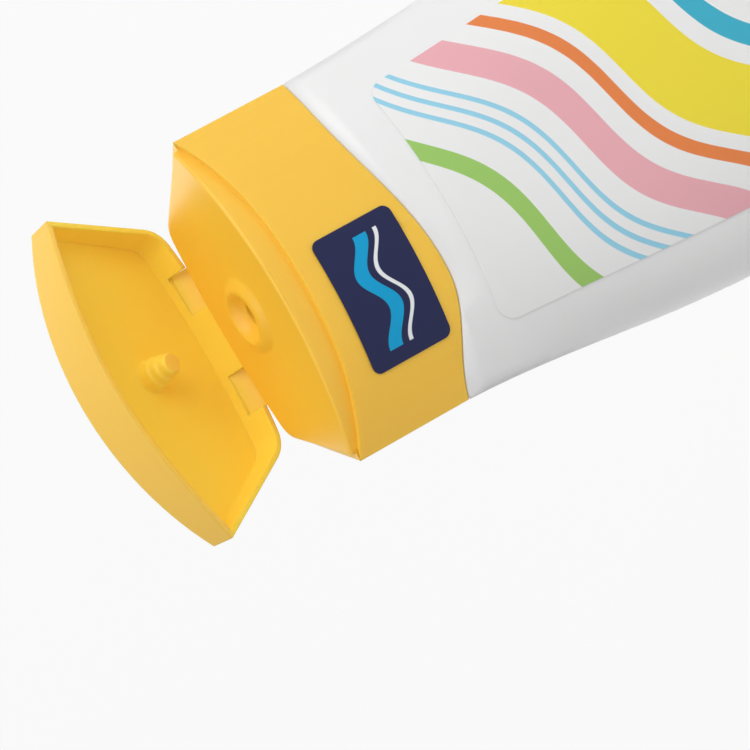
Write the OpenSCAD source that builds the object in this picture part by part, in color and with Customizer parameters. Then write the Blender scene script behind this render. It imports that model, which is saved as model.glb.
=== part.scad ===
// Squeeze bottle for sun lotion with a wide flip-top cap, standing on its base, lid swung open.
// Millimetres. +Z up, front towards -Y, origin at the middle of the flat base.

/* [Bottle] */
// Height of the body's wall from the base to the cap's lower edge at the side corners
body_h = 130; // [110:1:160]
// Widest size of the body, side to side
body_w = 71; // [66:1:80]
// Deepest size of the body, front to back
body_d = 38; // [35:1:44]
// Height of the widest section above the base
widest_z = 56; // [45:1:65]
// Width of the body just above its rounded foot
base_w = 62; // [56:1:66]
// Depth of the body just above its rounded foot
base_d = 34; // [30:1:35]
// Radius of the rounded foot
foot_r = 5; // [3:0.5:6]
// Wall of the blown bottle
body_wall = 1.0; // [0.8:0.1:1.4]
// Squareness of the body's oval: 2 is an ellipse
oval_power = 2.4; // [2:0.1:3]
// Height over which the cap's outline turns into the oval
blend_h = 42; // [30:1:60]

/* [Neck] */
// Outer diameter of the neck
neck_d = 22; // [19:0.5:24]
// Wall of the neck
neck_wall = 1.7; // [1.2:0.1:2.2]
// How far the snap beads stand out from the neck and from the cap's socket
snap_bead = 0.5; // [0.3:0.05:0.7]

/* [Cap base] */
// Width of the cap between its two sharp side corners
cap_w = 60; // [56:0.5:64]
// Depth of the cap, front to back
cap_d = 32; // [30:0.5:35]
// How far the front wall bows out in front of the line between the side corners
front_bow = 9.5; // [7:0.5:12]
// How far the back wall bows out between its rounded corners
back_bow = 2; // [1:0.25:3]
// How far the rounded back corners stand in from the side corners
back_in = 9.3; // [7:0.1:12]
// Radius of the rounded back corners
back_r = 5.6; // [4:0.2:7]
// Height of the cap base from its lower edge to the parting line, at the side corners
cap_h = 22; // [20:0.5:28]
// Wall of the cap base
cap_wall = 1.4; // [1:0.1:1.6]
// Thickness of the deck
deck_t = 1.6; // [1.2:0.1:2]
// How far the deck stands above the parting line
deck_rise = 0.9; // [0.6:0.1:1.4]
// Radius of the rounded edge round the deck
deck_edge_r = 0.5; // [0.2:0.1:0.6]
// Width of the ledge that the lid's wall closes on
ledge_w = 1.2; // [1.1:0.1:1.6]
// How far the parting line sinks at the middle of the front, to give a thumb hold
smile_dip = 3.4; // [2:0.2:4.4]
// How far the parting line sinks from the side corners to the hinge at the back
back_dip = 1; // [0:0.1:1.4]
// How far the cap's lower edge drops at the crest of its wave
wave_drop = 4.8; // [2:0.2:6]
// Place of the wave's crest, across the cap
wave_x = -11; // [-14:0.5:14]
// Length of the wave's slope on the +X side
wave_right = 34; // [20:1:36]
// Length of the wave's slope on the -X side
wave_left = 19; // [14:1:30]

/* [Orifice] */
// Place of the orifice, front to back
orifice_y = 1; // [0:0.25:2]
// Bore of the orifice
orifice_d = 4.2; // [3.6:0.1:5]
// Length of the orifice's straight bore
orifice_len = 2.8; // [2:0.2:4]
// Diameter of the rounded nozzle ring at its foot on the deck
nozzle_d = 14.4; // [12:0.2:15]
// Diameter of the nozzle ring's crest
crest_d = 9.2; // [8:0.2:10]
// How far the crest stands above the deck
nozzle_rise = 1.1; // [0.6:0.1:1.3]
// How far the funnel inside the ring goes below the deck
funnel_depth = 0.9; // [0.4:0.1:0.9]

/* [Lid] */
// Height of the lid above the parting line at its middle
lid_h = 6; // [5.6:0.1:8]
// How much lower the lid's top lies at the side corners than at the middle
lid_crown = 0.9; // [0.4:0.1:1.2]
// Wall of the lid
lid_wall = 0.9; // [0.7:0.05:0.9]
// How far the lid's sides lean in from the parting line to the top
lid_draft = 0.5; // [0.2:0.1:0.8]
// Diameter of the sealing pin where it enters the orifice
pin_d = 3.8; // [3.2:0.1:3.8]
// How far below the parting line the sealing pin reaches when the lid is closed
pin_reach = 0.8; // [0.6:0.1:1.2]

/* [Hinge] */
// How far the lid stands open from its closed place
open_angle = 66; // [0:1:110]
// Distance of the hinge axis behind the cap's back wall
hinge_out = 0.15; // [0.15:0.05:0.5]
// Half width of the middle film hinge
film_half_w = 5.5; // [4:0.1:5.5]
// Distance from the middle to the near side of each hinge pocket
pocket_in = 5.9; // [5.8:0.1:6.5]
// Width of each hinge pocket
pocket_w = 7.3; // [6.5:0.1:8]
// Height of the pocket in the cap base, and about that of the window in the lid
pocket_h = 4; // [3.4:0.1:4.4]
// Thickness of the spring bands' stiff panels
band_t = 0.55; // [0.4:0.05:0.6]
// Thickness of the film that the hinge bends in
web_t = 0.25; // [0.2:0.05:0.3]
// How far the spring bands lie behind the outside of the back wall
band_in = 0.6; // [0.5:0.05:0.7]

/* [Labels] */
// Width of the front label at the body's widest section; its sides follow the body's sides
label_w = 52; // [44:1:55]
// Height of the front label
label_h = 96; // [60:1:100]
// Distance of the label's top edge below the cap's lower edge at the corners
label_drop = 10; // [9:0.5:14]
// Width of the cap's sticker
sticker_w = 23.7; // [16:0.1:26]
// Height of the cap's sticker
sticker_h = 15.5; // [10:0.1:15.8]
// Place of the sticker's middle, across the cap
sticker_x = -7.85; // [-10:0.05:10]
// Distance of the sticker's middle below the parting line at the corners
sticker_drop = 15.1; // [13.5:0.1:15.3]
// Corner radius of the label
label_r = 3; // [2:0.25:5]
// Corner radius of the sticker
sticker_r = 1.5; // [1:0.25:3]
// Thickness of the label's and the sticker's film
film_t = 0.15; // [0.1:0.05:0.2]

/* [Hidden] */

// Clearance between pieces that fit or close on each other
gap = 0.3;
// Seam between the body's wall and the cap's lower edge
seam = 0.25;
// Air under a film that lies on a wall
film_air = 0.03;
// Depth of the hinge pockets in the cap base, and of the windows cut through the lid's back wall
pocket_deep = 1.3;
window_deep = 1.9;
// Height of the body below the cap that keeps the cap's outline
collar_h = 3;
// Number of points along the front bow, on each slanted side, round each back corner and on the back
n_front = 28;
n_side = 5;
n_round = 5;
n_back = 12;

half_w = cap_w / 2;
half_d = cap_d / 2;
corner_y = -half_d + front_bow;
parting_z = body_h + cap_h;
deck_z = parting_z + deck_rise;
deck_under = deck_z - deck_t;
// Everything above the parting line starts one gap higher on the lid
lid_z = parting_z + gap;
axis_y = half_d + hinge_out;
back_z = parting_z - back_dip;
axis_z = back_z + gap / 2;

// Radius and centre of the front bow and of the back bow
front_r = (half_w * half_w + front_bow * front_bow) / (2 * front_bow);
front_cy = -half_d + front_r;
back_x = half_w - back_in;
back_arc_r = (back_x * back_x + back_bow * back_bow) / (2 * back_bow);
back_cy = half_d - back_arc_r;

// The slanted side: its start at the side corner, its direction and its inward normal
side_start = [half_w, corner_y];
side_vec = [back_x - half_w, half_d - back_bow - corner_y];
side_u = side_vec / norm(side_vec);
side_n = [-side_u[1], side_u[0]];

// Where a line p + t u meets the circle of radius r round c, at the root nearest to the line's start
function hit(p, u, c, r, way) =
    let (b = (p - c) * u, q = (p - c) * (p - c) - r * r) p + u * (-b + way * sqrt(b * b - q));

// Centre of the rounded back corner, which an inset leaves where it is
round_c = hit(side_start + side_n * back_r, side_u, [0, back_cy], back_arc_r - back_r, 1);
side_turn = atan2(-side_n[1], -side_n[0]);
back_turn = atan2(round_c[1] - back_cy, round_c[0]);

// One side of the outline behind the +X corner, from the back bow to the corner, inset by d
function right_back(d) =
    let (c = hit(side_start + side_n * d, side_u, [0, front_cy], front_r - d, -1),
         r = back_r - d,
         e = round_c + r * [cos(side_turn), sin(side_turn)])
    concat([for (i = [0 : n_round])
                let (a = back_turn + (side_turn - back_turn) * i / n_round)
                round_c + r * [cos(a), sin(a)]],
           [for (i = [1 : n_side]) e + (c - e) * i / (n_side + 1)]);

// The cap's outline inset by d: clockwise from the +X corner over the front and round the back
function cap_path(d) =
    let (c = hit(side_start + side_n * d, side_u, [0, front_cy], front_r - d, -1),
         a = asin(c[0] / (front_r - d)),
         right = right_back(d),
         b = 90 - back_turn)
    concat([for (i = [0 : n_front])
                let (t = a * (1 - 2 * i / n_front))
                [(front_r - d) * sin(t), front_cy - (front_r - d) * cos(t)]],
           [for (i = [len(right) - 1 : -1 : 0]) [-right[i][0], right[i][1]]],
           [for (i = [1 : n_back - 1])
                let (t = -b + 2 * b * i / n_back)
                [(back_arc_r - d) * sin(t), back_cy + (back_arc_r - d) * cos(t)]],
           right);

plan = cap_path(0);
n_ring = len(plan);

function backwards(list) = [for (i = [len(list) - 1 : -1 : 0]) list[i]];
function smooth(t) = let (s = max(0, min(1, t))) s * s * (3 - 2 * s);
function mix(a, b, t) = a + (b - a) * t;

// The body's flare from the cap down to its widest section: a soft S with some straight lean in it
flare_soft = 0.65;
function flare(t) = flare_soft * (1 - cos(180 * t)) / 2 + (1 - flare_soft) * sin(90 * t);
function half_size(z, top, wide, low) =
    z > widest_z
        ? top + (wide - top) * flare(min(1, max(0, (body_h - z) / (body_h - widest_z))))
        : wide - (wide - low) * (1 - cos(90 * (widest_z - z) / widest_z));

// The body's section at height z, inset by d: the cap's outline under the cap, an oval lower down
function body_ring(z, d) =
    let (w = half_size(z, half_w, body_w / 2, base_w / 2),
         h = half_size(z, half_d, body_d / 2, base_d / 2),
         s = smooth((body_h - collar_h - z) / blend_h),
         kx = (w - d) / w,
         ky = (h - d) / h)
    [for (i = [0 : n_ring - 1])
        let (p = plan[i],
             u = max(-1, min(1, p[0] / half_w)),
             side = i <= n_front ? -1 : 1,
             ox = w * sign(u) * pow(abs(sin(90 * u)), 2 / oval_power),
             oy = h * side * pow(abs(cos(90 * u)), 2 / oval_power))
        [mix(p[0] * w / half_w, ox, s) * kx, mix(p[1] * h / half_d, oy, s) * ky]];

// A circle with one point for each point of the outline, for a loft that ends in the round neck
function round_ring(r) = [for (p = plan) r * p / norm(p)];

function at(ring, z) = [for (p = ring) [p[0], p[1], z]];

// A closed solid through rings of equal count, given from the bottom up
module skin(rings) {
    n = len(rings[0]);
    m = len(rings);
    polyhedron(
        points = [for (r = rings) each r],
        faces = concat(
            [[for (i = [n - 1 : -1 : 0]) i]],
            [for (j = [0 : m - 2], i = [0 : n - 1]) [j * n + i, j * n + (i + 1) % n, (j + 1) * n + (i + 1) % n]],
            [for (j = [0 : m - 2], i = [0 : n - 1]) [j * n + i, (j + 1) * n + (i + 1) % n, (j + 1) * n + i]],
            [[for (i = [0 : n - 1]) (m - 1) * n + i]]));
}

module prism(d, z0, z1) {
    translate([0, 0, z0]) linear_extrude(z1 - z0) polygon(cap_path(d));
}

// Height of the cap's wavy lower edge at x: one crest with a long and a short slope
function wave_z(x) =
    let (t = x > wave_x ? (x - wave_x) / wave_right : (wave_x - x) / wave_left)
    body_h - wave_drop * (t < 1 ? (1 + cos(180 * t)) / 2 : 0);

// Height of the parting line along the front at x: flat in the middle, steep at the corners
function smile_z(x) = parting_z - smile_dip * (1 - pow(min(1, abs(x) / half_w), 3));

wave_points = [for (i = [0 : 40]) let (x = mix(-half_w - 2, half_w + 2, i / 40)) [x, wave_z(x)]];
smile_points = [for (i = [0 : 32]) let (x = mix(-half_w, half_w, i / 32)) [x, smile_z(x)]];

// The space below the cap's wavy edge, lowered by d
module below_wave(d) {
    translate([0, cap_d, -d]) rotate([90, 0, 0]) linear_extrude(2 * cap_d)
        polygon(concat(wave_points, [[half_w + 2, 0], [-half_w - 2, 0]]));
}

// The space above the body's upper edge
module above_wave() {
    translate([0, cap_d, -seam]) rotate([90, 0, 0]) linear_extrude(2 * cap_d)
        polygon(concat(wave_points, [[half_w + 9, wave_z(half_w)], [half_w + 9, parting_z + 20],
                                     [-half_w - 9, parting_z + 20], [-half_w - 9, wave_z(-half_w)]]));
}

// The space above the parting line raised by d: its smile in front of the side corners, its slope behind them
module above_parting(d) {
    top = parting_z + 20;
    translate([0, corner_y + 0.01, d]) rotate([90, 0, 0]) linear_extrude(cap_d)
        polygon(concat(smile_points, [[half_w + 1, parting_z], [half_w + 1, top],
                                      [-half_w - 1, top], [-half_w - 1, parting_z]]));
    translate([-half_w - 1, 0, d]) rotate([90, 0, 90]) linear_extrude(cap_w + 2)
        polygon([[corner_y, parting_z], [half_d - back_bow, back_z], [half_d + 1, back_z],
                 [half_d + 1, top], [corner_y, top]]);
}

// Heights inside the cap: the shoulder's top edge, the neck's foot and the neck's rim
shoulder_z = body_h + 3;
neck_z = shoulder_z + 4;
neck_top = deck_under - 1.5;
neck_r = neck_d / 2;
bore_r = neck_r - neck_wall;
shoulder_in = cap_wall + gap;
// Heights at which the cavity's wall steps in under the cap
step_low = body_h - wave_drop - 8;
step_high = body_h - wave_drop - 3;
neck_bead_z = neck_top - 3;

module bottle_shell_outside() {
    foot = [for (k = [0 : 4]) let (a = 90 * k / 4)
                at(body_ring(foot_r * (1 - cos(a)), foot_r * (1 - sin(a))), foot_r * (1 - cos(a)))];
    wall = [for (k = [1 : 24]) let (z = mix(foot_r, body_h + 1, k / 24)) at(body_ring(z, 0), z)];
    difference() {
        skin(concat(foot, wall));
        above_wave();
    }
    prism(shoulder_in, step_high, shoulder_z);
    skin([at(cap_path(shoulder_in), shoulder_z - 0.01),
          at(mix(cap_path(shoulder_in), round_ring(neck_r + 2), 0.25), shoulder_z + 1.2),
          at(round_ring(neck_r + 2), neck_z)]);
}

module bottle_cavity() {
    r = foot_r - body_wall;
    foot = [for (k = [0 : 3]) let (a = 90 * k / 3)
                at(body_ring(foot_r - r * cos(a), foot_r - r * sin(a)), foot_r - r * cos(a))];
    wall = [for (k = [1 : 18]) let (z = mix(foot_r, step_low, k / 18)) at(body_ring(z, body_wall), z)];
    inner = shoulder_in + body_wall + 0.2;
    skin(concat(foot, wall,
                [at(cap_path(inner), step_high + 1),
                 at(cap_path(inner), shoulder_z - body_wall),
                 at(mix(cap_path(inner), round_ring(bore_r), 0.3), shoulder_z + 0.2),
                 at(round_ring(bore_r - 0.6), neck_z + 0.4)]));
    translate([0, 0, neck_z - 1.4]) cylinder(r = bore_r, h = neck_top - neck_z + 3, $fn = 96);
}

module bottle_body() color("white") {
    difference() {
        union() {
            bottle_shell_outside();
            translate([0, 0, neck_z - 1]) cylinder(r = neck_r, h = neck_top - neck_z + 1, $fn = 96);
            // Snap bead round the neck
            rotate_extrude($fn = 96) polygon([[neck_r - 0.5, neck_bead_z - 0.4], [neck_r, neck_bead_z - 0.4],
                [neck_r + snap_bead, neck_bead_z], [neck_r, neck_bead_z + 1.6], [neck_r - 0.5, neck_bead_z + 1.6]]);
        }
        bottle_cavity();
    }
}

// The cap's socket grips the neck, with its own bead under the neck's bead
socket_r = neck_r + snap_bead + 0.2;
socket_wall = 1.1;
socket_low = neck_z + 0.8;
socket_bead_z = neck_bead_z - 1.1;
plug_r = bore_r - 0.2;
plug_len = 4;
spout_wall = 1.0;
orifice_top = deck_z - funnel_depth;
rib_t = 1.0;
n_ribs = 8;
thick_z = parting_z - 7;

module ring(r_out, r_in, z0, z1) {
    translate([0, 0, z0]) difference() {
        cylinder(r = r_out, h = z1 - z0, $fn = 96);
        translate([0, 0, -1]) cylinder(r = r_in, h = z1 - z0 + 2, $fn = 96);
    }
}

// The pocket or window that a spring band lies in, from height z0 to z1
module hinge_pocket(side, z0, z1, deep) {
    x0 = side > 0 ? pocket_in : -pocket_in - pocket_w;
    y0 = half_d - deep;
    translate([x0, y0, z0]) cube([pocket_w, deep + 2, z1 - z0]);
}

// The raised deck, rounded off round its top edge
module raised_deck() {
    edge_z = deck_z - deck_edge_r;
    prism(ledge_w, thick_z, edge_z + 0.01);
    skin([for (a = [0 : 22.5 : 90])
        at(cap_path(ledge_w + deck_edge_r * (1 - cos(a))), edge_z + deck_edge_r * sin(a))]);
}

module cap_shell() {
    difference() {
        union() {
            difference() {
                prism(0, body_h - wave_drop - 1, parting_z + 0.01);
                below_wave(0);
                above_parting(0);
            }
            raised_deck();
        }
        prism(cap_wall, body_h - wave_drop - 2, thick_z);
        prism(cap_wall + ledge_w - 0.2, thick_z - 0.1, deck_under);
        for (side = [-1, 1]) hinge_pocket(side, back_z - pocket_h, deck_z + 1, pocket_deep);
    }
}

// Ribs that stiffen the socket against the shell, clear of the bottle's shoulder
module cap_ribs() {
    intersection() {
        prism(cap_wall - 0.2, neck_z + 1, deck_under + 0.2);
        for (k = [0 : n_ribs - 1]) rotate([0, 0, 360 * (k + 0.5) / n_ribs])
            translate([socket_r + socket_wall / 2, -rib_t / 2, neck_z + 4]) cube([cap_w, rib_t, cap_h]);
    }
}

// A rounded ring like half a doughnut: up from the deck to its crest, and down in a funnel to the orifice
module nozzle_ring() {
    foot = nozzle_d / 2;
    crest = crest_d / 2;
    throat = orifice_d / 2;
    rise = nozzle_rise + funnel_depth;
    translate([0, orifice_y, 0]) rotate_extrude($fn = 96) polygon(concat(
        [[throat, orifice_top - 0.4], [throat, orifice_top]],
        [for (i = [1 : 8]) let (t = i / 8) [mix(throat, crest, t), orifice_top + rise * (1 - cos(180 * t)) / 2]],
        [for (i = [1 : 8]) let (t = i / 8) [mix(crest, foot, t), deck_z + nozzle_rise * (1 + cos(180 * t)) / 2]],
        [[foot, orifice_top - 0.4]]));
}

module orifice_cut() {
    r = orifice_d / 2;
    translate([0, orifice_y, 0]) {
        translate([0, 0, orifice_top - orifice_len - 1]) cylinder(r = r, h = orifice_len + 4, $fn = 96);
        translate([0, 0, orifice_top - 0.2]) cylinder(r = crest_d / 2, h = funnel_depth + 2, $fn = 96);
    }
}

module cap_base() color("goldenrod") {
    difference() {
        union() {
            cap_shell();
            ring(socket_r + socket_wall, socket_r, socket_low, deck_under + 0.2);
            ring(plug_r, plug_r - 1.1, deck_under - plug_len, deck_under + 0.2);
            // Snap bead inside the socket, under the neck's bead
            rotate_extrude($fn = 96) polygon([[socket_r + 0.3, socket_bead_z - 0.9], [socket_r, socket_bead_z - 0.9],
                [socket_r - snap_bead, socket_bead_z], [socket_r - snap_bead, socket_bead_z + 0.3],
                [socket_r, socket_bead_z + 0.5], [socket_r + 0.3, socket_bead_z + 0.5]]);
            cap_ribs();
            // Spout under the orifice
            translate([0, orifice_y, orifice_top - orifice_len])
                cylinder(r = orifice_d / 2 + spout_wall, h = deck_under - orifice_top + orifice_len + 0.2, $fn = 64);
        }
        orifice_cut();
    }
    nozzle_ring();
}

// Carries what is drawn in its closed place to the place where the lid stands open
module swung_open() {
    translate([0, axis_y, axis_z]) rotate([-open_angle, 0, 0]) translate([0, -axis_y, -axis_z]) children();
}

lid_top = parting_z + lid_h;
lid_roof = 1.0;
crown_r = (half_w * half_w + lid_crown * lid_crown) / (2 * lid_crown);
pin_tip_z = parting_z - pin_reach;
window_top = back_z + pocket_h + 0.2;

// The space under the lid's crowned top, whose middle is at height z
module under_crown(z) {
    translate([0, cap_d, z - crown_r]) rotate([90, 0, 0]) cylinder(r = crown_r, h = 2 * cap_d, $fn = 200);
}

module lid_shell() {
    low = parting_z - smile_dip - 1;
    difference() {
        intersection() {
            skin([at(cap_path(0), low), at(cap_path(0), lid_z), at(cap_path(lid_draft), lid_top + 0.5)]);
            under_crown(lid_top);
            above_parting(gap);
        }
        intersection() {
            skin([at(cap_path(lid_wall), low - 1), at(cap_path(lid_wall), lid_z),
                  at(cap_path(lid_wall + lid_draft), lid_top)]);
            under_crown(lid_top - lid_roof);
        }
        for (side = [-1, 1]) hinge_pocket(side, low - 1, window_top, window_deep);
    }
}

// The stepped sealing pin, which closes the orifice
module sealing_pin() {
    r = pin_d / 2;
    root = lid_top - lid_roof + 0.3;
    translate([0, orifice_y, 0]) rotate_extrude($fn = 64) polygon([
        [0, pin_tip_z], [r - 0.35, pin_tip_z], [r, pin_tip_z + 0.5], [r, deck_z - 0.1],
        [r + 0.45, deck_z + 0.35], [r + 0.45, deck_z + 1.5], [r + 0.85, deck_z + 1.9],
        [r + 0.85, lid_top - lid_roof - 0.5], [r + 1.3, root], [0, root]]);
}

module flip_lid() color("gold") {
    swung_open() {
        lid_shell();
        sealing_pin();
    }
}

// Radii of the thin web that the lid turns on, between the two back walls
film_r_in = hinge_out + 0.05;
film_r_out = film_r_in + web_t;
// Angle at which the film's outside meets the rim of the cap base, and again the rim of the lid
film_start = asin(gap / 2 / film_r_out);

// A sector of a thin ring round the hinge axis, from the cap base's rim over the top to the lid's rim
module film_hinge() color("orange") {
    translate([0, axis_y, axis_z]) rotate([0, -90, 0]) rotate([0, 0, 270 - film_start])
        translate([0, 0, -film_half_w]) rotate_extrude(angle = open_angle + 2 * film_start, $fn = 64)
            translate([film_r_in, 0]) square([film_r_out - film_r_in, 2 * film_half_w]);
}

// A spring band's two ends, in the Y and Z of the hinge: on the pocket's floor and under the window's top
band_y = half_d - back_bow * pow((pocket_in + pocket_w / 2) / back_x, 2) - band_in - axis_y;
band_foot = [band_y, back_z - pocket_h - axis_z];
band_head_shut = [band_y, window_top - axis_z];
band_head = [band_head_shut[0] * cos(open_angle) + band_head_shut[1] * sin(open_angle),
             -band_head_shut[0] * sin(open_angle) + band_head_shut[1] * cos(open_angle)];
band_vec = band_head - band_foot;
band_len = norm(band_vec);
band_lean = atan2(band_vec[0], band_vec[1]);
// Room at the band's ends, where it meets the faces at a slant
band_end = web_t / 2 * tan(max(band_lean, open_angle - band_lean)) + 0.05;
// Side play of a band in its pocket and window
band_play = 0.15;

// One face of the band from its foot to its head: two stiff panels between three bending webs
band_face = [[web_t / 2, band_end], [web_t / 2, 0.5], [band_t / 2, 1],
             [band_t / 2, band_len / 2 - 0.5], [web_t / 2, band_len / 2 - 0.15],
             [web_t / 2, band_len / 2 + 0.15], [band_t / 2, band_len / 2 + 0.5],
             [band_t / 2, band_len - 1], [web_t / 2, band_len - 0.5], [web_t / 2, band_len - band_end]];

// A spring band between its pocket and its window
module spring_band(side) {
    w = pocket_w - 2 * band_play;
    translate([side * (pocket_in + pocket_w / 2) - w / 2, axis_y + band_foot[0], axis_z + band_foot[1]])
        rotate([-band_lean, 0, 0]) rotate([90, 0, 90]) linear_extrude(w)
            polygon(concat(band_face, [for (p = backwards(band_face)) [-p[0], p[1]]]));
}

module left_hinge_spring() color("orange") spring_band(-1);
module right_hinge_spring() color("orange") spring_band(1);

label_top = body_h - label_drop;
label_low = label_top - label_h;
label_rows = 20;

// Half width of the label's outline at height z, before its corners are rounded
function label_half(z) = label_w / body_w * half_size(z, half_w, body_w / 2, base_w / 2);

// The +X side of the label's outline from the bottom to the top
label_side = concat(
    [for (a = [0 : 15 : 90]) let (z = label_low + label_r * (1 - cos(a))) [label_half(z) - label_r * (1 - sin(a)), z]],
    [for (k = [1 : label_rows - 1])
        let (z = mix(label_low + label_r, label_top - label_r, k / label_rows)) [label_half(z), z]],
    [for (a = [90 : -15 : 0]) let (z = label_top - label_r * (1 - cos(a))) [label_half(z) - label_r * (1 - sin(a)), z]]);

// The front points of a body section, moved out by d
function label_row(z, d) = let (ring = body_ring(z, -d)) [for (i = [2 : n_front - 2]) [ring[i][0], ring[i][1], z]];

module front_label() color("whitesmoke") {
    rows = [for (k = [0 : label_rows])
                let (z = mix(label_low - 1, label_top + 1, k / label_rows))
                concat(label_row(z, film_air + film_t), backwards(label_row(z, film_air)))];
    intersection() {
        skin(rows);
        rotate([90, 0, 0]) linear_extrude(body_d)
            polygon(concat(label_side, [for (p = backwards(label_side)) [-p[0], p[1]]]));
    }
}

module rounded_rectangle(w, h, r) {
    square([w - 2 * r, h], center = true);
    square([w, h - 2 * r], center = true);
    for (i = [-1, 1], j = [-1, 1]) translate([i * (w / 2 - r), j * (h / 2 - r)]) circle(r = r, $fn = 48);
}

module cap_sticker() color("midnightblue") {
    low = parting_z - sticker_drop - sticker_h;
    intersection() {
        difference() {
            prism(-film_air - film_t, low, parting_z);
            prism(-film_air, low - 1, parting_z + 1);
        }
        translate([sticker_x, 0, parting_z - sticker_drop]) rotate([90, 0, 0]) linear_extrude(body_d)
            rounded_rectangle(sticker_w, sticker_h, sticker_r);
    }
}

bottle_body();
cap_base();
flip_lid();
film_hinge();
left_hinge_spring();
right_hinge_spring();
front_label();
cap_sticker();
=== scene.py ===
"""Dresses the squeeze bottle with its open flip-top cap: pieces, finishes, lamps and camera."""

import logging
import math
from dataclasses import dataclass
from enum import Enum
from typing import Callable

import bpy
from mathutils import Matrix, Vector


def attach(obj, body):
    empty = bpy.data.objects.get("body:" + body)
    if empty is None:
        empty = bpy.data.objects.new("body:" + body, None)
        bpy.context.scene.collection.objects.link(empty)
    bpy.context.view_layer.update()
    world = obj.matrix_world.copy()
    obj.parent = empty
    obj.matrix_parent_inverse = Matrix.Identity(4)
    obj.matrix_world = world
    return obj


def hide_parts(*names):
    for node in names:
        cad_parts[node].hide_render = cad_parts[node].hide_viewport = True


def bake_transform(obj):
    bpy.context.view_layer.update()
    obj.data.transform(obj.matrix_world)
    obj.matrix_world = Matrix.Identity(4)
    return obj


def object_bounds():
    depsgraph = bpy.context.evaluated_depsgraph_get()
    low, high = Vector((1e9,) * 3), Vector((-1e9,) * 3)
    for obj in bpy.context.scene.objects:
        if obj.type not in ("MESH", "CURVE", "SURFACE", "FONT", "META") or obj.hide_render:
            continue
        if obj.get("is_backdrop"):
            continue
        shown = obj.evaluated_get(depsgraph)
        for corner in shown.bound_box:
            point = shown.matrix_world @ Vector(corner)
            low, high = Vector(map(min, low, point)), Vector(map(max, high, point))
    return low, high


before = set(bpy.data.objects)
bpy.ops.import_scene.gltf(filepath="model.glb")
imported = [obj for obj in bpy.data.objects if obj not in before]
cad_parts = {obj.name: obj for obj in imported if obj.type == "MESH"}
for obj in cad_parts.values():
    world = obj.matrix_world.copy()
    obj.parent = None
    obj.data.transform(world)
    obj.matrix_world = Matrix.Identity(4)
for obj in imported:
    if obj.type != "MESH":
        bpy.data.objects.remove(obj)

MM = 0.001
MM_PER_METRE = 1000.0
FULL_TURN = 2 * math.pi

MERGE_DISTANCE = 0.002 * MM
FLAT_ANGLE_DEG = 0.02
SMOOTH_ANGLE_DEG = 32.0
BEVEL_ANGLE_DEG = 35.0
BEVEL_WIDTH = 0.22 * MM
BEVEL_SEGMENTS = 2

EDGE_SAMPLES = 6
NOISE_ROUGHNESS = 0.55
MIX_FIRST_COLOUR = 6
MIX_SECOND_COLOUR = 7
MIX_COLOUR_RESULT = 2
SEEN_RAYS = ("Is Camera Ray", "Is Glossy Ray", "Is Transmission Ray")

log = logging.getLogger("bottle")

Colour = tuple[float, float, float]
Place = tuple[float, float, float]
Limits = tuple[float, float]

WHITE: Colour = (1.0, 1.0, 1.0)
UNSTRETCHED: Place = (1.0, 1.0, 1.0)


class Side(Enum):
    """The side of the hinge that a spring band lies on."""

    LEFT = "left"
    RIGHT = "right"


class Value:
    """A socket that takes part in Python expressions and adds Math nodes to its tree."""

    def __init__(self, graph: "Graph", socket: bpy.types.NodeSocket) -> None:
        """Keeps the socket and the graph that it belongs to."""
        self.graph = graph
        self.socket = socket

    def _math(self, operation: str, *terms: "Value | float") -> "Value":
        """Adds one Math node with these terms and gives its result."""
        return self.graph.node("ShaderNodeMath", {"operation": operation}, dict(enumerate(terms)))

    def __add__(self, other: "Value | float") -> "Value":
        """Sum."""
        return self._math("ADD", self, other)

    def __radd__(self, other: float) -> "Value":
        """Reflected sum."""
        return self._math("ADD", other, self)

    def __sub__(self, other: "Value | float") -> "Value":
        """Difference."""
        return self._math("SUBTRACT", self, other)

    def __rsub__(self, other: float) -> "Value":
        """Reflected difference."""
        return self._math("SUBTRACT", other, self)

    def __mul__(self, other: "Value | float") -> "Value":
        """Product."""
        return self._math("MULTIPLY", self, other)

    def __rmul__(self, other: float) -> "Value":
        """Reflected product."""
        return self._math("MULTIPLY", other, self)

    def __abs__(self) -> "Value":
        """Size without its sign."""
        return self._math("ABSOLUTE", self)

    def sin(self) -> "Value":
        """Sine of an angle in radians."""
        return self._math("SINE", self)

    def most(self, other: "Value") -> "Value":
        """The larger of two values."""
        return self._math("MAXIMUM", self, other)

    def rise(self, low: float, high: float) -> "Value":
        """Goes smoothly from 0 at low to 1 at high.

        Args:
            low: Value at which the result is 0.
            high: Value at which the result is 1.

        Returns:
            The smoothed step.
        """
        settings = {"interpolation_type": "SMOOTHSTEP"}
        inputs = {"Value": self, "From Min": low, "From Max": high}
        return self.graph.node("ShaderNodeMapRange", settings, inputs)

    def within(self, low: float, high: float) -> "Value":
        """1 where the size without its sign is below low, smoothly down to 0 at high."""
        return 1.0 - abs(self).rise(low, high)


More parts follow.
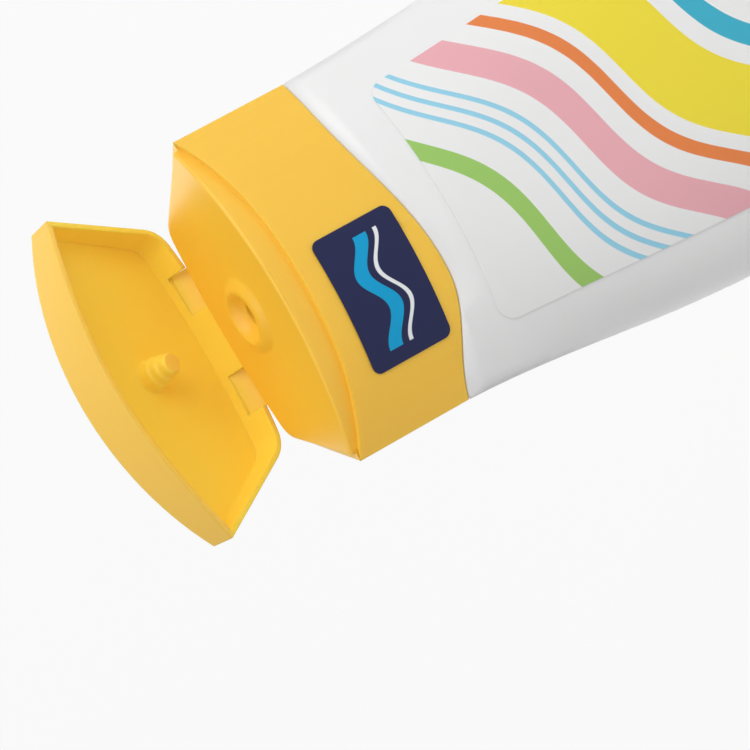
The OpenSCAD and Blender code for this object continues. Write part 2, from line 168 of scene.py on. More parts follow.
class Graph:
    """A node tree that is filled by expressions."""

    def __init__(self, tree: bpy.types.NodeTree, output_kind: str) -> None:
        """Empties the tree and adds its output.

        Args:
            tree: Node tree of a material or of the world.
            output_kind: Node type of its output.
        """
        self.tree = tree
        self.tree.nodes.clear()
        self.output = self.tree.nodes.new(output_kind)

    def fill(self, socket: bpy.types.NodeSocket, value: object) -> None:
        """Links a value to a socket, or sets it there.

        Args:
            socket: Input socket.
            value: A value of the graph, a number, a colour or a vector.
        """
        if isinstance(value, Value):
            self.tree.links.new(value.socket, socket)
        elif isinstance(value, tuple) and socket.type == "RGBA":
            socket.default_value = (*value, 1.0)
        else:
            socket.default_value = value

    def node(self, kind: str, settings: dict, inputs: dict, output: int | str = 0) -> Value:
        """Adds any node.

        Args:
            kind: Node type.
            settings: Properties of the node, set first.
            inputs: Values or links, by socket name or number.
            output: Socket that the result is read from.

        Returns:
            The chosen output.
        """
        made = self.tree.nodes.new(kind)
        for key, value in settings.items():
            setattr(made, key, value)
        for key, value in inputs.items():
            self.fill(made.inputs[key], value)
        return Value(self, made.outputs[output])

    def show(self, surface: Value) -> None:
        """Links a shader to the output's surface."""
        self.fill(self.output.inputs["Surface"], surface)

    def seen(self) -> Value:
        """Tells the rays that show a background from those that light the object.

        Returns:
            1 for rays of the camera, off gloss and through clear matter, otherwise 0.
        """
        camera, gloss, clear = (self.node("ShaderNodeLightPath", {}, {}, ray) for ray in SEEN_RAYS)
        return camera.most(gloss).most(clear)


class Shader(Graph):
    """A material with one Principled shader, built with expressions."""

    def __init__(self, name: str) -> None:
        """Starts a material that shows a Principled shader.

        Args:
            name: Name of the material.
        """
        self.material = bpy.data.materials.new(name)
        self.material.use_nodes = True
        super().__init__(self.material.node_tree, "ShaderNodeOutputMaterial")
        self.principled = self.tree.nodes.new("ShaderNodeBsdfPrincipled")
        self.plain = Value(self, self.principled.outputs[0])
        self.show(self.plain)

    def point(self) -> Value:
        """Object coordinates, in metres."""
        return self.node("ShaderNodeTexCoord", {}, {}, "Object")

    def along(self, point: Value, axis: str) -> Value:
        """A point's coordinate along one axis, in millimetres."""
        return self.node("ShaderNodeSeparateXYZ", {}, {0: point}, axis) * MM_PER_METRE

    def noise(self, point: Value, size: float, detail: float = 1.0, stretch: Place = UNSTRETCHED) -> Value:
        """Soft noise between 0 and 1.

        Args:
            point: Object coordinates.
            size: Size of a blotch in metres.
            detail: Octaves of finer noise.
            stretch: How much the pattern is squeezed along each axis.

        Returns:
            The noise.
        """
        moved = self.node("ShaderNodeMapping", {}, {"Vector": point, "Scale": stretch})
        inputs = {"Vector": moved, "Scale": 1.0 / size, "Detail": detail, "Roughness": NOISE_ROUGHNESS}
        return self.node("ShaderNodeTexNoise", {}, inputs)

    def ahead(self, point: Value, spot: Place) -> Value:
        """How far a spot lies in front of the surface.

        Args:
            point: Object coordinates.
            spot: The spot in Object coordinates, in metres.

        Returns:
            The distance in millimetres, below 0 where the surface turns its back on the spot.
        """
        normal = self.node("ShaderNodeTexCoord", {}, {}, "Normal")
        way = self.node("ShaderNodeVectorMath", {"operation": "SUBTRACT"}, {0: spot, 1: point})
        lead = self.node("ShaderNodeVectorMath", {"operation": "DOT_PRODUCT"}, {0: normal, 1: way}, "Value")
        return lead * MM_PER_METRE

    def blend(self, mask: Value, low: Value | Colour, high: Value | Colour) -> Value:
        """Mixes two colours.

        Args:
            mask: 0 for the first colour, 1 for the second.
            low: First colour.
            high: Second colour.

        Returns:
            The mixed colour.
        """
        inputs = {"Factor": mask, MIX_FIRST_COLOUR: low, MIX_SECOND_COLOUR: high}
        return self.node("ShaderNodeMix", {"data_type": "RGBA"}, inputs, MIX_COLOUR_RESULT)

    def bump(self, height: Value, depth: float, edge: float = 0.0) -> Value:
        """Turns a height into a normal, over softly rounded edges where a radius is given.

        Args:
            height: Height as a share of the depth.
            depth: Height of 1, in metres.
            edge: Radius at which edges catch the light, in metres.

        Returns:
            The normal.
        """
        inputs = {"Height": height, "Distance": depth, "Strength": 1.0}
        if edge > 0.0:
            inputs["Normal"] = self.node("ShaderNodeBevel", {"samples": EDGE_SAMPLES}, {"Radius": edge})
        return self.node("ShaderNodeBump", {}, inputs)

    def set(self, **sockets: object) -> None:
        """Sets or links sockets of the Principled shader, with spaces written as underscores."""
        for key, value in sockets.items():
            self.fill(self.principled.inputs[key.replace("_", " ")], value)


@dataclass(frozen=True)
class MouldedPlastic:
    """A satin plastic with a faint moulded grain, flow marks, fine rub marks and, if given, painted light
    from thin walls: an even emission and a lighter colour on faces that look into the hollow.

    Attributes:
        name: Name of the material.
        colour: Main colour.
        deep: Colour of the darker flow marks.
        roughness: Roughness before flow and rub marks.
        scatter: Weight of the light that enters the plastic.
        scatter_radius: How far each colour of it goes, as a share of scatter_depth.
        scatter_depth: How far it goes, in metres.
        coat: Weight of the smoother skin.
        coat_roughness: Roughness of that skin.
        ior: Refractive index.
        shine: Level of the mirrored light.
        painted_or_backdrop_glow: Strength of an even painted light that the plastic gives off in its main
            colour, standing in for light that shines through thin walls.
        flow_size: Size of a flow mark in metres.
        flow_stretch: How much flow marks are squeezed along each axis.
        flow_limits: Noise at which a flow mark starts and is full.
        flow_roughness: Roughness that a flow mark adds.
        rub_size: Size of a rub mark in metres.
        rub_stretch: How much rub marks are squeezed along each axis.
        rub_limits: Noise at which a rub mark starts and is full.
        rub_roughness: Roughness that a rub mark adds.
        grain_size: Size of a grain in metres.
        grain_height: Height of the grain as a share of relief.
        ripple_size: Size of a ripple in metres.
        ripple_height: Height of the ripples as a share of relief.
        relief: Height of 1 in metres.
        edge: Radius at which edges catch the light, in metres.
        painted_inner_light: A lighter colour for the faces that look into the hollow, where it differs;
            painted light that stands in for light through the thin walls.
        hollow: Middle of the hollow in metres.
        hollow_limits: How far the hollow lies ahead where a face starts to look into it and does, in mm.
    """

    name: str
    colour: Colour
    deep: Colour
    roughness: float
    scatter: float
    scatter_radius: Colour
    scatter_depth: float = 0.0015
    coat: float = 0.15
    coat_roughness: float = 0.22
    ior: float = 1.49
    shine: float = 0.5
    painted_or_backdrop_glow: float = 0.0
    flow_size: float = 0.028
    flow_stretch: Place = (1.0, 1.0, 0.6)
    flow_limits: Limits = (0.3, 0.75)
    flow_roughness: float = 0.05
    rub_size: float = 0.0009
    rub_stretch: Place = (0.12, 1.0, 1.0)
    rub_limits: Limits = (0.6, 0.72)
    rub_roughness: float = 0.06
    grain_size: float = 0.00035
    grain_height: float = 0.35
    ripple_size: float = 0.011
    ripple_height: float = 4.0
    relief: float = 0.000006
    edge: float = 0.0004
    painted_inner_light: Colour | None = None
    hollow: Place = (0.0, 0.0, 0.0)
    hollow_limits: Limits = (-2.9, -2.3)

    def material(self) -> bpy.types.Material:
        """Builds the material.

        Returns:
            The material.
        """
        shader = Shader(self.name)
        point = shader.point()
        flow = shader.noise(point, self.flow_size, detail=3.0, stretch=self.flow_stretch)
        rub = shader.noise(point, self.rub_size, detail=4.0, stretch=self.rub_stretch)
        grain = shader.noise(point, self.grain_size)
        ripple = shader.noise(point, self.ripple_size)
        colour = shader.blend(flow.rise(*self.flow_limits), self.colour, self.deep)
        # Painted light: faces that look into the hollow get a lighter colour, standing in for light through
        # the thin walls.
        if self.painted_inner_light is not None:
            painted_light_mask = shader.ahead(point, self.hollow).rise(*self.hollow_limits)
            colour = shader.blend(painted_light_mask, colour, self.painted_inner_light)
        marks = self.roughness + self.flow_roughness * flow + self.rub_roughness * rub.rise(*self.rub_limits)
        height = grain * self.grain_height + ripple * self.ripple_height
        shader.set(
            Base_Color=colour,
            Roughness=marks,
            Subsurface_Weight=self.scatter,
            Subsurface_Radius=self.scatter_radius,
            Subsurface_Scale=self.scatter_depth,
            # Painted light: the plastic gives off an even light in its own colour, standing in for light
            # through thin walls.
            Emission_Color=self.colour,
            Emission_Strength=self.painted_or_backdrop_glow,
            Coat_Weight=self.coat,
            Coat_Roughness=self.coat_roughness,
            Specular_IOR_Level=self.shine,
            IOR=self.ior,
            Normal=shader.bump(height, self.relief, self.edge),
        )
        return shader.material


@dataclass(frozen=True)
class Ribbon:
    """One printed ribbon.

    Attributes:
        middle: Its place across the slant, in millimetres from the frame's origin.
        width: Its width in millimetres.
        tint: Its colour.
    """

    middle: float
    width: float
    tint: Colour


@dataclass(frozen=True)
class WavePrint:
    """White label film printed with slanted, waving colour ribbons.

    Attributes:
        name: Name of the material.
        film: Colour of the bare film.
        ribbons: The ribbons, the first printed first.
        slant_deg: Angle of the ribbons to the level, in degrees.
        wave_length: Length of the ribbons' wave in millimetres.
        wave_height: Its height in millimetres.
        swell_length: Length of the slower wave as a multiple of wave_length.
        swell_height: Its height as a share of wave_height.
        swell_phase: Its start in radians.
        ink_edge: Half the width of a ribbon's soft edge in millimetres.
        speck_size: Size of a speck in metres.
        speck_limits: Noise at which a speck starts and is full.
        speck_weight: How much of its tint a speck shows.
        speck_tint: Colour of the specks.
        weave_size: Size of the film's unevenness in metres.
        roughness: Roughness of the smoothest film.
        weave_roughness: Roughness that the unevenness adds.
        ink_roughness: Roughness that ink adds.
        coat: Weight of the gloss varnish.
        coat_roughness: Roughness of the varnish.
        ink_height: Height of the ink as a share of relief.
        relief: Height of 1 in metres.
    """

    name: str
    film: Colour
    ribbons: tuple[Ribbon, ...]
    slant_deg: float
    wave_length: float
    wave_height: float
    swell_length: float = 1.7
    swell_height: float = 0.5
    swell_phase: float = 1.0
    ink_edge: float = 0.07
    speck_size: float = 0.00012
    speck_limits: Limits = (0.62, 0.8)
    speck_weight: float = 0.05
    speck_tint: Colour = (0.55, 0.55, 0.55)
    weave_size: float = 0.0006
    roughness: float = 0.3
    weave_roughness: float = 0.05
    ink_roughness: float = 0.05
    coat: float = 0.25
    coat_roughness: float = 0.15
    ink_height: float = 0.5
    relief: float = 0.000004

    def track(self, shader: Shader, point: Value) -> Value:
        """Place across the waving ribbons.

        Args:
            shader: The material in the making.
            point: Object coordinates.

        Returns:
            The distance across them in millimetres.
        """
        x, z = shader.along(point, "X"), shader.along(point, "Z")
        turn = math.radians(self.slant_deg)
        along = x * math.cos(turn) + z * math.sin(turn)
        across = z * math.cos(turn) - x * math.sin(turn)
        wave = (along * (FULL_TURN / self.wave_length)).sin() * self.wave_height
        slow = along * (FULL_TURN / (self.swell_length * self.wave_length)) + self.swell_phase
        return across + wave + slow.sin() * (self.swell_height * self.wave_height)

    def material(self) -> bpy.types.Material:
        """Builds the material.

        Returns:
            The material.
        """
        shader = Shader(self.name)
        point = shader.point()
        track = self.track(shader, point)
        colour: Value | Colour = self.film
        ink: Value | None = None
        for ribbon in self.ribbons:
            half = ribbon.width / 2
            printed = (track - ribbon.middle).within(half - self.ink_edge, half + self.ink_edge)
            colour = shader.blend(printed, colour, ribbon.tint)
            ink = printed if ink is None else ink.most(printed)
        speck = shader.noise(point, self.speck_size).rise(*self.speck_limits)
        weave = shader.noise(point, self.weave_size, detail=2.0)
        shader.set(
            Base_Color=shader.blend(speck * self.speck_weight, colour, self.speck_tint),
            Roughness=self.roughness + self.weave_roughness * weave + self.ink_roughness * ink,
            Coat_Weight=self.coat,
            Coat_Roughness=self.coat_roughness,
            Normal=shader.bump(weave + ink * self.ink_height, self.relief),
        )
        return shader.material


@dataclass(frozen=True)
class StripePrint:
    """Dark sticker film printed with two waving stripes.

    Attributes:
        name: Name of the material.
        film: Colour of the film.
        film_speck: Colour of the film's paler specks.
        bright: Colour of the broad stripe.
        pale: Colour of the thin stripe.
        middle: Middle of the sticker in millimetres, its X and Z.
        width: Width of the sticker in millimetres.
        wave_length: Length of the stripes' wave as a share of width.
        wave_height: Its height in millimetres.
        broad_place: Middle of the broad stripe above the sticker's, in millimetres.
        broad_limits: Distance at which the broad stripe starts to end and has ended, in millimetres.
        thin_place: Middle of the thin stripe above the sticker's, in millimetres.
        thin_limits: Distance at which the thin stripe starts to end and has ended, in millimetres.
        end_margins: Distance from the sides where both stripes start to end and have ended, in millimetres.
        speck_size: Size of a speck in metres.
        speck_weight: How much of its colour a speck shows.
        speck_roughness: Roughness that a speck adds.
        roughness: Roughness between specks.
        shine: Level of the mirrored light.
        relief: Height of a speck in metres.
    """

    name: str
    film: Colour
    film_speck: Colour
    bright: Colour
    pale: Colour
    middle: tuple[float, float]
    width: float
    wave_length: float = 0.52
    wave_height: float = 1.5
    broad_place: float = 0.9
    broad_limits: Limits = (1.25, 1.36)
    thin_place: float = -2.1
    thin_limits: Limits = (0.33, 0.43)
    end_margins: Limits = (2.5, 2.4)
    speck_size: float = 0.0002
    speck_weight: float = 0.12
    speck_roughness: float = 0.08
    roughness: float = 0.42
    shine: float = 0.25
    relief: float = 0.000003

    def material(self) -> bpy.types.Material:
        """Builds the material.

        Returns:
            The material.
        """
        shader = Shader(self.name)
        point = shader.point()
        x = shader.along(point, "X") - self.middle[0]
        z = shader.along(point, "Z") - self.middle[1]
        wave = (x * (FULL_TURN / (self.wave_length * self.width))).sin() * self.wave_height
        ends = x.within(*(self.width / 2 - margin for margin in self.end_margins))
        broad = (z - wave - self.broad_place).within(*self.broad_limits)
        thin = (z - wave - self.thin_place).within(*self.thin_limits)
        speck = shader.noise(point, self.speck_size)
        colour = shader.blend(speck * self.speck_weight, self.film, self.film_speck)
        colour = shader.blend(broad * ends, colour, self.bright)
        colour = shader.blend(thin * ends, colour, self.pale)
        shader.set(
            Base_Color=colour,
            Roughness=self.roughness + self.speck_roughness * speck,
            Specular_IOR_Level=self.shine,
            Normal=shader.bump(speck, self.relief),
        )
        return shader.material


@dataclass(frozen=True)
class StudioPaper:
    """Matte white paper, which the camera sees a little brighter and which keeps its shadow.

    Attributes:
        name: Name of the material.
        colour: Main colour.
        fibre: Colour of the fibres.
        lift: How much of what is seen is plain white.
        fibre_size: Size of a fibre in metres.
        fibre_weight: How much of its colour a fibre shows.
        roughness: Roughness of the paper.
        relief: Height of a fibre in metres.
    """

    name: str
    colour: Colour
    fibre: Colour
    lift: float
    fibre_size: float = 0.0012
    fibre_weight: float = 0.2
    roughness: float = 0.9
    relief: float = 0.00002

    def material(self) -> bpy.types.Material:
        """Builds the material.

        Returns:
            The material.
        """
        shader = Shader(self.name)
        fibres = shader.noise(shader.point(), self.fibre_size, detail=2.0)
        shader.set(
            Base_Color=shader.blend(fibres * self.fibre_weight, self.colour, self.fibre),
            Roughness=self.roughness,
            Normal=shader.bump(fibres, self.relief),
        )
        painted_or_backdrop_glow = shader.node("ShaderNodeEmission", {}, {"Color": WHITE, "Strength": 1.0})
        layers = {0: shader.seen() * self.lift, 1: shader.plain, 2: painted_or_backdrop_glow}
        shader.show(shader.node("ShaderNodeMixShader", {}, layers))
        return shader.material


def deselect_all() -> None:
    """Leaves edit mode and deselects every object."""
    if bpy.context.object is not None and bpy.context.object.mode != "OBJECT":
        bpy.ops.object.mode_set(mode="OBJECT")
    bpy.ops.object.select_all(action="DESELECT")


def take(piece: bpy.types.Object) -> None:
    """Makes one object the active and only selected one.

    Args:
        piece: The object.
    """
    deselect_all()
    piece.select_set(True)
    bpy.context.view_layer.objects.active = piece


def select_faces(piece: bpy.types.Object, test: Callable[[Vector, Vector], bool]) -> None:
    """Selects faces in edit mode.

    Args:
        piece: Mesh object in edit mode.
        test: Says from a face's middle and normal whether it is selected.
    """
    bpy.ops.mesh.select_mode(type="FACE")
    bpy.ops.mesh.select_all(action="DESELECT")
    bpy.ops.object.mode_set(mode="OBJECT")
    for face in piece.data.polygons:
        face.select = test(face.center, face.normal)
    bpy.ops.object.mode_set(mode="EDIT")


def settle(piece: bpy.types.Object, angle_deg: float = SMOOTH_ANGLE_DEG, keep_flats: bool = True) -> None:
    """Applies a piece's place and modifiers and shades it smooth.

    Args:
        piece: Mesh object.
        angle_deg: Edges sharper than this stay sharp.
        keep_flats: Whether large faces stay flat beside small ones.
    """
    take(piece)
    for modifier in list(piece.modifiers):
        bpy.ops.object.modifier_apply(modifier=modifier.name)
    bpy.ops.object.transform_apply(location=True, rotation=True, scale=True)
    bpy.ops.object.shade_smooth_by_angle(angle=math.radians(angle_deg))
    if keep_flats:
        flat_faces = piece.modifiers.new("flat_faces_lead", "WEIGHTED_NORMAL")
        flat_faces.keep_sharp = True
        bpy.ops.object.modifier_apply(modifier=flat_faces.name)


def rounded(piece: bpy.types.Object) -> None:
    """Adds a fine bevel along the sharp edges, so that the faces beside them shade evenly.

    It is no wider than the shortest edge that it meets allows.

    Args:
        piece: Mesh object.
    """
    bevel = piece.modifiers.new("rounded_edges", "BEVEL")
    bevel.width = BEVEL_WIDTH
    bevel.segments = BEVEL_SEGMENTS
    bevel.limit_method = "ANGLE"
    bevel.angle_limit = math.radians(BEVEL_ANGLE_DEG)
    bevel.use_clamp_overlap = True


def copy_of(node: str, name: str) -> bpy.types.Object:
    """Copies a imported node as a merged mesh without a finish.

    Args:
        node: Name of the node.
        name: Name of the new piece.

    Returns:
        The new object.
    """
    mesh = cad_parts[node].data.copy()
    mesh.materials.clear()
    mesh.name = name
    piece = bpy.data.objects.new(name, mesh)
    bpy.context.scene.collection.objects.link(piece)
    take(piece)
    bpy.ops.object.mode_set(mode="EDIT")
    bpy.ops.mesh.select_all(action="SELECT")
    bpy.ops.mesh.remove_doubles(threshold=MERGE_DISTANCE)
    bpy.ops.mesh.dissolve_limited(angle_limit=math.radians(FLAT_ANGLE_DEG))
    bpy.ops.object.mode_set(mode="OBJECT")
    return piece


def dress(piece: bpy.types.Object, body: str, material: bpy.types.Material, node: str) -> None:
    """Gives a piece its finish and body, and hides the node that it stands for.

    Args:
        piece: Mesh object.
        body: Body that it rides on.
        material: Its finish.
        node: Node that it stands for.
    """
    piece.data.materials.append(material)
    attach(piece, body)
    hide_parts(node)


@dataclass
class Bottle:
    """The blown bottle with its neck.

    Attributes:
        finish: Its plastic.
        smooth_deg: Edges sharper than this stay sharp.
    """

    finish: MouldedPlastic
    smooth_deg: float = 30.0

    def build(self) -> list[bpy.types.Object]:
        """Makes the bottle from its node.

        Returns:
            The bottle alone.
        """
        piece = copy_of("bottle_body", "blown_bottle")
        settle(piece, self.smooth_deg, keep_flats=False)
        dress(piece, "bottle", self.finish.material(), "bottle_body")
        return [piece]


@dataclass
class CapBase:
    """The cap's fixed part: shell, deck, orifice and socket. Sizes are in metres.

    Attributes:
        finish: Its plastic.
        corner_x: Distance from the middle at which the ledge's small step starts.
        outer_x: Distance from the middle at which it ends.
        step_y: Where the step's face lies from front to back.
        step_low: Height below the step.
        step_high: Height above the step.
        reach: How far from step_y a corner of the step may lie.
        air: How far the step moves back.
    """

    finish: MouldedPlastic
    corner_x: float = 27.5 * MM
    outer_x: float = 29.0 * MM
    step_y: float = -6.49 * MM
    step_low: float = 151.2 * MM
    step_high: float = 152.1 * MM
    reach: float = 0.02 * MM
    air: float = 0.12 * MM

    def build(self) -> list[bpy.types.Object]:
        """Makes the cap base from its node.

        Returns:
            The cap base alone.
        """
        piece = copy_of("cap_base", "moulded_cap_base")
        self.relieve(piece)
        rounded(piece)
        settle(piece)
        dress(piece, "bottle", self.finish.material(), "cap_base")
        return [piece]

    def relieve(self, piece: bpy.types.Object) -> None:
        """Moves the ledge's small step beside the side corners back, so that the shut lid has air there.

        Args:
            piece: The cap base.
        """
        take(piece)
        for vertex in piece.data.vertices:
            spot = vertex.co
            vertex.select = (
                self.corner_x < abs(spot.x) < self.outer_x
                and abs(spot.y - self.step_y) < self.reach
                and self.step_low < spot.z < self.step_high
            )
        bpy.ops.object.mode_set(mode="EDIT")
        bpy.ops.transform.translate(value=(0.0, self.air, 0.0))
        bpy.ops.object.mode_set(mode="OBJECT")


@dataclass
class FlipLid:
    """The lid with its sealing pin."""

    finish: MouldedPlastic

    def build(self) -> list[bpy.types.Object]:
        """Makes the lid from its node.

        Returns:
            The lid alone.
        """
        piece = copy_of("flip_lid", "moulded_flip_lid")
        rounded(piece)
        settle(piece)
        dress(piece, "lid", self.finish.material(), "flip_lid")
        return [piece]


@dataclass
class Hinge:
    """The film web and the two spring bands that join the lid to the cap base. Sizes are in metres.

    Attributes:
        finish: Their plastic.
        side_fill: How much wider a band gets on each side.
        end_fill: How much longer a band gets at each end.
        end_zone: How far from a band's end its end faces may lie.
        end_facing: Least cosine between an end face's normal and the band.
    """

    finish: MouldedPlastic
    side_fill: float = 0.2 * MM
    end_fill: float = 0.25 * MM
    end_zone: float = 0.3 * MM
    end_facing: float = 0.9

    def build(self) -> list[bpy.types.Object]:
        """Makes the three bending pieces from their nodes.

        Returns:
            The pieces.
        """
        material = self.finish.material()
        made = [self.bending("film_hinge", "film_web", material)]
        for side in Side:
            node = f"{side.value}_hinge_spring"
            made.append(self.bending(node, f"{side.value}_spring_band", material, self.weld))
        return made

    def weld(self, piece: bpy.types.Object) -> None:
        """Widens and lengthens a spring band until it joins the walls round it, as in the one-piece moulding.

        Args:
            piece: The band.
        """
        corners = [vertex.co.copy() for vertex in piece.data.vertices]
        low = Vector([min(corner[i] for corner in corners) for i in range(3)])
        high = Vector([max(corner[i] for corner in corners) for i in range(3)])
        middle = (low + high) / 2
        along = Vector((0.0, high.y - low.y, high.z - low.z)).normalized()
        half = max((corner - middle).dot(along) for corner in corners)
        take(piece)
        bpy.ops.object.mode_set(mode="EDIT")
        for outward in (along, -along):
            select_faces(
                piece,
                lambda spot, normal: normal.dot(outward) > self.end_facing
                and (spot - middle).dot(outward) > half - self.end_zone,
            )
            bpy.ops.transform.translate(value=outward * self.end_fill)
        bpy.ops.mesh.select_all(action="SELECT")
        widen = 1.0 + 2 * self.side_fill / (high.x - low.x)
        bpy.ops.transform.resize(value=(widen, 1.0, 1.0), center_override=middle)
        bpy.ops.object.mode_set(mode="OBJECT")

    def bending(
        self,
        node: str,
        name: str,
        material: bpy.types.Material,
        shape: Callable[[bpy.types.Object], None] | None = None,
    ) -> bpy.types.Object:
        """Makes one bending piece.

        Args:
            node: Name of the node.
            name: Name of the piece.
            material: Its finish.
            shape: Step that changes the copy's shape before it is settled.

        Returns:
            The piece.
        """
        piece = copy_of(node, name)
        if shape is not None:
            shape(piece)
        settle(piece)
        piece.data.materials.append(material)
        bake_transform(piece)
        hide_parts(node)
        return piece


@dataclass
class Labels:
    """The front label and the cap's sticker."""

    label: WavePrint
    sticker: StripePrint

    def build(self) -> list[bpy.types.Object]:
        """Makes both films from their nodes.

        Returns:
            The films.
        """
        made = []
        for node, name, slot, finish in (
            ("front_label", "label_film", "label_print", self.label),
            ("cap_sticker", "sticker_film", "sticker_navy", self.sticker),
        ):
            piece = copy_of(node, name)
            settle(piece)
            dress(piece, "bottle", finish.material(), node)
            made.append(piece)
        return made


@dataclass(frozen=True)
class Lamp:
    """One soft area lamp.

    Attributes:
        name: Name of the lamp.
        place: Where it hangs.
        aim: Point that it shines at.
        size: Diameter in metres.
        power: Power in watts.
    """

    name: str
    place: Place
    aim: Place
    size: float
    power: float

    def build(self) -> None:
        """Hangs the lamp."""
        data = bpy.data.lights.new(self.name, "AREA")
        data.shape = "DISK"
        data.size = self.size
        data.energy = self.power
        lamp = bpy.data.objects.new(self.name, data)
        bpy.context.scene.collection.objects.link(lamp)
        lamp.location = self.place
        lamp.rotation_euler = (Vector(self.aim) - Vector(self.place)).to_track_quat("-Z", "Y").to_euler()


@dataclass
class Studio:
    """Floor, white surroundings, lamps and camera.

    Attributes:
        paper: Finish of the floor.
        lamps: The lamps.
        ambient: Strength of the surroundings as light.
        floor_size: Side of the floor in metres.
        floor_cells: Faces along a side of the floor.
        eye: Where the camera stands.
        right: Direction of the picture's right side.
        down: Direction of the picture's lower side.
        sensor: Width of the camera's sensor in millimetres.
        lens: Focal length in millimetres.
    """

    paper: StudioPaper
    lamps: tuple[Lamp, ...]
    ambient: float = 0.39
    floor_size: float = 6.0
    floor_cells: int = 8
    eye: Place = (-0.06137, -0.78262, 0.47757)
    right: Place = (-0.50779, -0.31822, -0.80056)
    down: Place = (-0.86003, 0.24125, 0.44961)
    sensor: float = 36.0
    lens: float = 250.2

    def build(self) -> None:
        """Makes the whole studio."""
        self.floor()
        self.world()
        for lamp in self.lamps:
            lamp.build()
        self.camera()

    def floor(self) -> None:
        """Lays the floor."""
        deselect_all()
        cells = self.floor_cells
        bpy.ops.mesh.primitive_grid_add(x_subdivisions=cells, y_subdivisions=cells, size=self.floor_size)
        floor = bpy.context.object
        floor.name = "studio_floor"
        floor.data.materials.append(self.paper.material())
        floor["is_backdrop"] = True

    def world(self) -> None:
        """Sets plain white surroundings, softer as light than as a background."""
        world = bpy.data.worlds.new("studio_world")
        bpy.context.scene.world = world
        world.use_nodes = True
        sky = Graph(world.node_tree, "ShaderNodeOutputWorld")
        light, background = (
            sky.node("ShaderNodeBackground", {}, {"Color": WHITE, "Strength": strength})
            for strength in (self.ambient, 1.0)
        )
        sky.show(sky.node("ShaderNodeMixShader", {}, {0: sky.seen(), 1: light, 2: background}))

    def camera(self) -> None:
        """Places the camera at the photograph's viewing angle."""
        data = bpy.data.cameras.new("photo_camera")
        data.sensor_width = self.sensor
        data.lens = self.lens
        camera = bpy.data.objects.new("photo_camera", data)
        bpy.context.scene.collection.objects.link(camera)
        right, up = Vector(self.right), -Vector(self.down)
        back = right.cross(up)
        turn = Matrix((right, up, back)).transposed()
        camera.matrix_world = Matrix.Translation(Vector(self.eye)) @ turn.to_4x4()
        bpy.context.scene.camera = camera


WARM_SCATTER: Colour = (1.0, 0.7, 0.3)

WHITE_BOTTLE = MouldedPlastic(
    name="white_blown_plastic",
    colour=(0.91, 0.91, 0.905),
    deep=(0.88, 0.88, 0.88),
    roughness=0.33,
    scatter=0.12,
    scatter_radius=(1.0, 0.95, 0.9),
    coat=0.1,
)
# The three yellow plastics give off an even painted light that stands in for light through their thin walls.
YELLOW_CAP = MouldedPlastic(
    name="yellow_cap_plastic",
    colour=(0.92, 0.56, 0.05),
    deep=(0.9, 0.53, 0.042),
    roughness=0.4,
    scatter=0.4,
    scatter_radius=WARM_SCATTER,
    painted_or_backdrop_glow=0.08,
)
YELLOW_LID = MouldedPlastic(
    name="yellow_lid_plastic",
    colour=(0.89, 0.57, 0.09),
    deep=(0.87, 0.55, 0.08),
    roughness=0.42,
    scatter=0.4,
    scatter_radius=WARM_SCATTER,
    coat=0.06,
    shine=0.3,
    painted_or_backdrop_glow=0.11,
    # Painted light: a lighter colour on the lid's faces that look into its hollow.
    painted_inner_light=(0.92, 0.68, 0.07),
    hollow=(0.0, 12.2 * MM, 167.1 * MM),
)
YELLOW_HINGE = MouldedPlastic(
    name="yellow_hinge_plastic",
    colour=(0.91, 0.63, 0.075),
    deep=(0.89, 0.6, 0.065),
    roughness=0.36,
    scatter=0.4,
    scatter_radius=WARM_SCATTER,
    painted_or_backdrop_glow=0.09,
)

SUN: Colour = (0.9, 0.74, 0.02)
CORAL: Colour = (0.83, 0.22, 0.04)
ROSE: Colour = (0.86, 0.42, 0.47)
SKY: Colour = (0.3, 0.66, 0.84)
LEAF: Colour = (0.33, 0.6, 0.12)
SEA: Colour = (0.02, 0.43, 0.6)

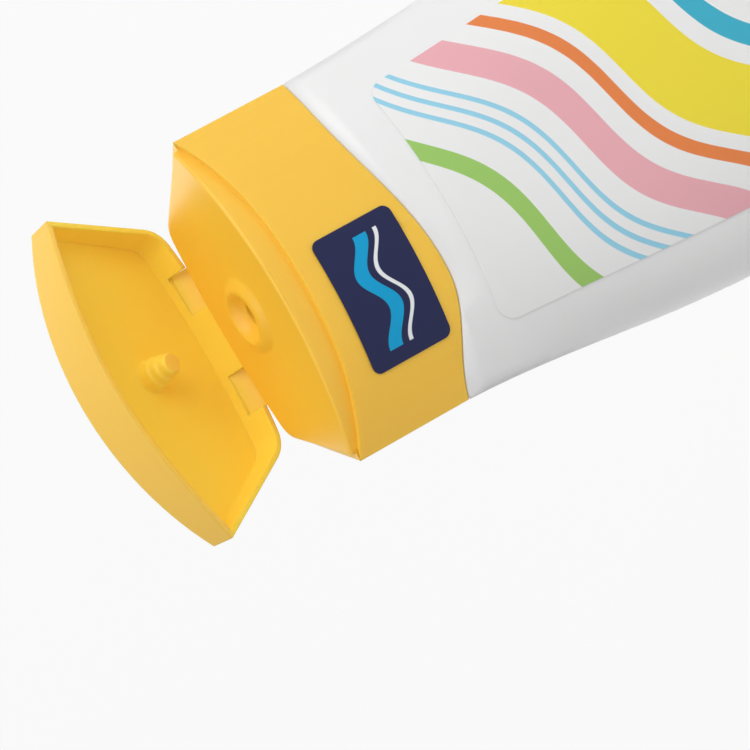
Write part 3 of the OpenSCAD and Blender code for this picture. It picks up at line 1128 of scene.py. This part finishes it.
RIBBON_LABEL = WavePrint(
    name="ribbon_label_print",
    film=(0.89, 0.89, 0.885),
    ribbons=(
        Ribbon(59.0, 13.0, SUN),
        Ribbon(69.5, 2.4, CORAL),
        Ribbon(77.5, 5.6, ROSE),
        Ribbon(84.6, 0.9, SKY),
        Ribbon(87.2, 0.9, SKY),
        Ribbon(89.8, 0.9, SKY),
        Ribbon(96.5, 3.2, LEAF),
        Ribbon(47.0, 4.0, SEA),
        Ribbon(38.6, 0.9, SKY),
        Ribbon(36.0, 0.9, SKY),
        Ribbon(28.0, 5.0, LEAF),
        Ribbon(19.5, 2.4, CORAL),
    ),
    slant_deg=32.0,
    wave_length=46.0,
    wave_height=2.4,
)
STRIPE_STICKER = StripePrint(
    name="stripe_sticker_print",
    film=(0.012, 0.016, 0.072),
    film_speck=(0.035, 0.04, 0.12),
    bright=(0.0, 0.36, 0.68),
    pale=(0.85, 0.88, 0.9),
    middle=(-7.85, 136.9),
    width=23.7,
)
WHITE_PAPER = StudioPaper(
    name="studio_paper",
    colour=(0.94, 0.94, 0.94),
    fibre=(0.9, 0.9, 0.9),
    lift=0.82,
)
LAMPS = (
    Lamp("key_lamp", place=(0.95, -0.95, 0.85), aim=(0.0, 0.0, 0.13), size=1.2, power=10.5),
    Lamp("top_lamp", place=(-0.05, -0.35, 1.4), aim=(0.0, 0.0, 0.15), size=1.2, power=3.2),
    Lamp("back_lamp", place=(0.5, 1.3, 0.9), aim=(0.0, 0.0, 0.12), size=1.0, power=5.0),
)


def main() -> None:
    """Builds every piece in order and reports it, then builds the studio."""
    logging.basicConfig(level=logging.INFO, format="%(message)s")
    before = tuple(corner.copy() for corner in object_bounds())
    bpy.context.scene.view_settings.view_transform = "Standard"
    assemblies = (
        Bottle(WHITE_BOTTLE),
        CapBase(YELLOW_CAP),
        FlipLid(YELLOW_LID),
        Hinge(YELLOW_HINGE),
        Labels(RIBBON_LABEL, STRIPE_STICKER),
    )
    for assembly in assemblies:
        for piece in assembly.build():
            log.info("%s: %d faces", piece.name, len(piece.data.polygons))
    Studio(WHITE_PAPER, LAMPS).build()


if __name__ == "__main__":
    main()
